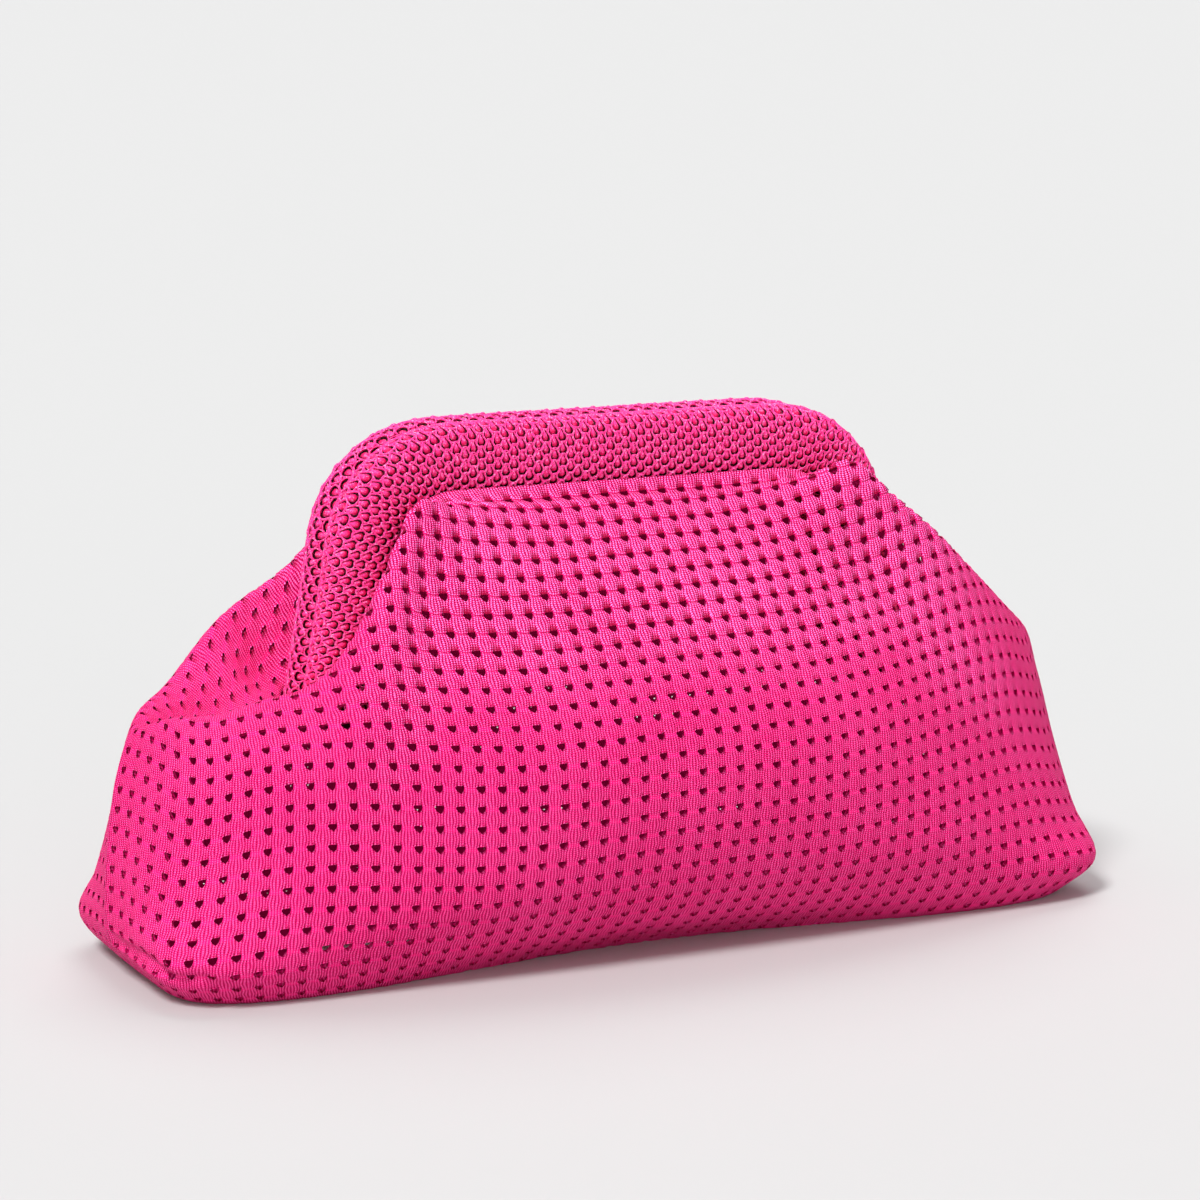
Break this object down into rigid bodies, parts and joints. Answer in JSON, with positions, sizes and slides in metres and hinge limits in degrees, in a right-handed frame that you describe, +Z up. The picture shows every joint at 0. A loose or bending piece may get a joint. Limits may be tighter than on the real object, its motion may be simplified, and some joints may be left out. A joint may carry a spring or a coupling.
{
  "type": "pouch bag",
  "caption": "Soft knitted clutch pouch with a flat base and slack folded ends, under an arched frame mouth of two thick knitted rolls that meet along a slit.",
  "frame": {"origin": "on the ground under the middle of the bag's box", "axes": "+X along the bag's length to the right as seen from the front, +Y towards the back, +Z up through the mouth"},
  "size_m": [0.3746, 0.1552, 0.1845],
  "materials": {
    "eyelet_knit": "fine hot-pink knit with open eyelets",
    "roll_knit": "thick hot-pink tuck-stitch knit",
    "frame_metal": "plain satin metal, hidden in the rolls"
  },
  "bodies": {
    "root": {"pouch_body": "eyelet_knit", "front_casing": "roll_knit", "back_casing": "roll_knit", "mouth_frame": "frame_metal"}
  },
  "joints": []
}
